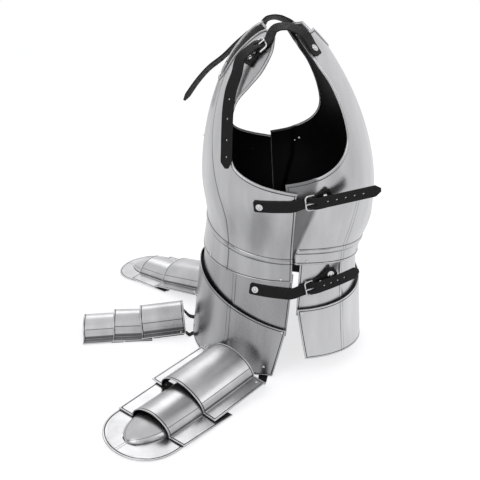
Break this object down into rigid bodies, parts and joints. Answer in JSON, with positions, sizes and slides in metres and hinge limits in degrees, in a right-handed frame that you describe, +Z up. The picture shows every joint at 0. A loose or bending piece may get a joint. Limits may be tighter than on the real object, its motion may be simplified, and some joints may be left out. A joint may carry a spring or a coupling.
{
  "type": "cuirass with tassets",
  "caption": "Articulated steel breast and back plates with waist plates, fauld, culet and hinged tassets, closed by buckled black leather straps.",
  "frame": {"origin": "on the floor under the torso's vertical middle line", "axes": "+Z up, the breastplate faces -Y, the wearer's left is +X"},
  "size_m": [0.7152, 0.5428, 0.5774],
  "materials": {
    "plate_steel": "satin polished outside, painted black inside",
    "rivet_steel": "polished",
    "buckle_steel": "plated wire",
    "black_leather": "smooth grain, semi-matt"
  },
  "bodies": {
    "cuirass": {"breastplate": "plate_steel", "front_waist_plate": "plate_steel", "backplate": "plate_steel", "back_waist_plate": "plate_steel", "plate_rivets": "rivet_steel", "left_chest_strap": "black_leather", "right_chest_strap": "black_leather", "left_waist_strap": "black_leather", "right_waist_strap": "black_leather", "left_shoulder_strap": "black_leather", "right_shoulder_strap": "black_leather", "side_buckle_chapes": "black_leather", "shoulder_buckle_chapes": "black_leather", "strap_rivets": "rivet_steel", "strap_washers": "rivet_steel"},
    "fauld": {"fauld_lame": "plate_steel", "fauld_rivets": "rivet_steel", "hanger_leathers": "black_leather"},
    "culet": {"culet_lame": "plate_steel", "culet_rivets": "rivet_steel"},
    "left_tasset_upper": {"left_tasset_upper_lame": "plate_steel", "left_tasset_upper_leathers": "black_leather", "left_tasset_upper_rivets": "rivet_steel"},
    "left_tasset_middle": {"left_tasset_middle_lame": "plate_steel", "left_tasset_middle_leathers": "black_leather", "left_tasset_middle_rivets": "rivet_steel"},
    "left_tasset_lower": {"left_tasset_lower_lame": "plate_steel", "left_tasset_lower_leathers": "black_leather", "left_tasset_lower_rivets": "rivet_steel"},
    "right_tasset_upper": {"right_tasset_upper_lame": "plate_steel", "right_tasset_upper_leathers": "black_leather", "right_tasset_upper_rivets": "rivet_steel"},
    "right_tasset_middle": {"right_tasset_middle_lame": "plate_steel", "right_tasset_middle_leathers": "black_leather", "right_tasset_middle_rivets": "rivet_steel"},
    "right_tasset_lower": {"right_tasset_lower_lame": "plate_steel", "right_tasset_lower_leathers": "black_leather", "right_tasset_lower_rivets": "rivet_steel"},
    "middle_tasset_upper": {"middle_tasset_upper_lame": "plate_steel", "middle_tasset_upper_leathers": "black_leather", "middle_tasset_upper_rivets": "rivet_steel"},
    "middle_tasset_middle": {"middle_tasset_middle_lame": "plate_steel", "middle_tasset_middle_leathers": "black_leather", "middle_tasset_middle_rivets": "rivet_steel"},
    "middle_tasset_lower": {"middle_tasset_lower_lame": "plate_steel", "middle_tasset_lower_leathers": "black_leather", "middle_tasset_lower_rivets": "rivet_steel"},
    "left_chest_buckle_frame": {"left_chest_buckle": "buckle_steel"},
    "left_chest_buckle_tongue": {"left_chest_buckle_tongue": "buckle_steel"},
    "right_chest_buckle_frame": {"right_chest_buckle": "buckle_steel"},
    "right_chest_buckle_tongue": {"right_chest_buckle_tongue": "buckle_steel"},
    "left_waist_buckle_frame": {"left_waist_buckle": "buckle_steel"},
    "left_waist_buckle_tongue": {"left_waist_buckle_tongue": "buckle_steel"},
    "right_waist_buckle_frame": {"right_waist_buckle": "buckle_steel"},
    "right_waist_buckle_tongue": {"right_waist_buckle_tongue": "buckle_steel"},
    "left_shoulder_buckle_frame": {"left_shoulder_buckle": "buckle_steel"},
    "left_shoulder_buckle_tongue": {"left_shoulder_buckle_tongue": "buckle_steel"},
    "right_shoulder_buckle_frame": {"right_shoulder_buckle": "buckle_steel"},
    "right_shoulder_buckle_tongue": {"right_shoulder_buckle_tongue": "buckle_steel"}
  },
  "joints": [
    {"name": "fauld_pivot", "type": "hinge", "parent": "cuirass", "child": "fauld", "pos_m": [0, -0.01329, 0.08145], "axis": [1, 0, 0], "range_deg": [0, 12]},
    {"name": "culet_pivot", "type": "hinge", "parent": "cuirass", "child": "culet", "pos_m": [0, 0.02005, 0.11517], "axis": [-1, 0, 0], "range_deg": [0, 12]},
    {"name": "left_tasset_upper_hinge", "type": "hinge", "parent": "fauld", "child": "left_tasset_upper", "pos_m": [0.1683, -0.0974, 0.0191], "axis": [0.7193, 0.6947, 0], "range_deg": [0, 42]},
    {"name": "left_tasset_middle_hinge", "type": "hinge", "parent": "left_tasset_upper", "child": "left_tasset_middle", "pos_m": [0.23444, -0.15725, 0.0011], "axis": [0.6428, 0.766, 0], "range_deg": [0, 30]},
    {"name": "left_tasset_lower_hinge", "type": "hinge", "parent": "left_tasset_middle", "child": "left_tasset_lower", "pos_m": [0.29343, -0.20675, 0.0011], "axis": [0.682, 0.7314, 0], "range_deg": [0, 30]},
    {"name": "right_tasset_upper_hinge", "type": "hinge", "parent": "fauld", "child": "right_tasset_upper", "pos_m": [-0.15, -0.128, 0.0191], "axis": [0.788, -0.6157, 0], "range_deg": [0, 42]},
    {"name": "right_tasset_middle_hinge", "type": "hinge", "parent": "right_tasset_upper", "child": "right_tasset_middle", "pos_m": [-0.20243, -0.19998, 0.0011], "axis": [0.829, -0.5592, 0], "range_deg": [0, 30]},
    {"name": "right_tasset_lower_hinge", "type": "hinge", "parent": "right_tasset_middle", "child": "right_tasset_lower", "pos_m": [-0.24549, -0.26382, 0.0011], "axis": [0.866, -0.5, 0], "range_deg": [0, 30]},
    {"name": "middle_tasset_upper_hinge", "type": "hinge", "parent": "fauld", "child": "middle_tasset_upper", "pos_m": [0.004, -0.19, 0.0111], "axis": [0.9945, 0.1045, 0], "range_deg": [0, 42]},
    {"name": "middle_tasset_middle_hinge", "type": "hinge", "parent": "middle_tasset_upper", "child": "middle_tasset_middle", "pos_m": [0.01069, -0.25365, 0.0011], "axis": [0.9945, 0.1045, 0], "range_deg": [0, 30]},
    {"name": "middle_tasset_lower_hinge", "type": "hinge", "parent": "middle_tasset_middle", "child": "middle_tasset_lower", "pos_m": [0.01633, -0.30735, 0.0011], "axis": [0.9945, 0.1045, 0], "range_deg": [0, 30]},
    {"name": "left_chest_buckle_swing", "type": "hinge", "parent": "cuirass", "child": "left_chest_buckle_frame", "pos_m": [0.18994, 0.02833, 0.32326], "axis": [0.1877, -0.1537, 0.9701], "range_deg": [0, 6]},
    {"name": "left_chest_buckle_tongue_swing", "type": "hinge", "parent": "left_chest_buckle_frame", "child": "left_chest_buckle_tongue", "pos_m": [0.18994, 0.02833, 0.32326], "axis": [0.1877, -0.1537, 0.9701], "range_deg": [0, 12]},
    {"name": "right_chest_buckle_swing", "type": "hinge", "parent": "cuirass", "child": "right_chest_buckle_frame", "pos_m": [-0.18994, 0.02833, 0.32326], "axis": [0.1877, 0.1537, -0.9701], "range_deg": [0, 6]},
    {"name": "right_chest_buckle_tongue_swing", "type": "hinge", "parent": "right_chest_buckle_frame", "child": "right_chest_buckle_tongue", "pos_m": [-0.18994, 0.02833, 0.32326], "axis": [0.1877, 0.1537, -0.9701], "range_deg": [0, 12]},
    {"name": "left_waist_buckle_swing", "type": "hinge", "parent": "cuirass", "child": "left_waist_buckle_frame", "pos_m": [0.15427, 0.03837, 0.16042], "axis": [-0.044, -0.2247, 0.9734], "range_deg": [0, 6]},
    {"name": "left_waist_buckle_tongue_swing", "type": "hinge", "parent": "left_waist_buckle_frame", "child": "left_waist_buckle_tongue", "pos_m": [0.15427, 0.03837, 0.16042], "axis": [-0.044, -0.2247, 0.9734], "range_deg": [0, 12]},
    {"name": "right_waist_buckle_swing", "type": "hinge", "parent": "cuirass", "child": "right_waist_buckle_frame", "pos_m": [-0.15427, 0.03837, 0.16042], "axis": [-0.044, 0.2247, -0.9734], "range_deg": [0, 6]},
    {"name": "right_waist_buckle_tongue_swing", "type": "hinge", "parent": "right_waist_buckle_frame", "child": "right_waist_buckle_tongue", "pos_m": [-0.15427, 0.03837, 0.16042], "axis": [-0.044, 0.2247, -0.9734], "range_deg": [0, 12]},
    {"name": "left_shoulder_buckle_swing", "type": "hinge", "parent": "cuirass", "child": "left_shoulder_buckle_frame", "pos_m": [0.11478, -0.05634, 0.5428], "axis": [0.8676, 0.2613, -0.423], "range_deg": [0, 6]},
    {"name": "left_shoulder_buckle_tongue_swing", "type": "hinge", "parent": "left_shoulder_buckle_frame", "child": "left_shoulder_buckle_tongue", "pos_m": [0.11478, -0.05634, 0.5428], "axis": [0.8676, 0.2613, -0.423], "range_deg": [0, 12]},
    {"name": "right_shoulder_buckle_swing", "type": "hinge", "parent": "cuirass", "child": "right_shoulder_buckle_frame", "pos_m": [-0.11478, -0.05634, 0.5428], "axis": [0.8676, -0.2613, 0.423], "range_deg": [0, 6]},
    {"name": "right_shoulder_buckle_tongue_swing", "type": "hinge", "parent": "right_shoulder_buckle_frame", "child": "right_shoulder_buckle_tongue", "pos_m": [-0.11478, -0.05634, 0.5428], "axis": [0.8676, -0.2613, 0.423], "range_deg": [0, 12]}
  ]
}
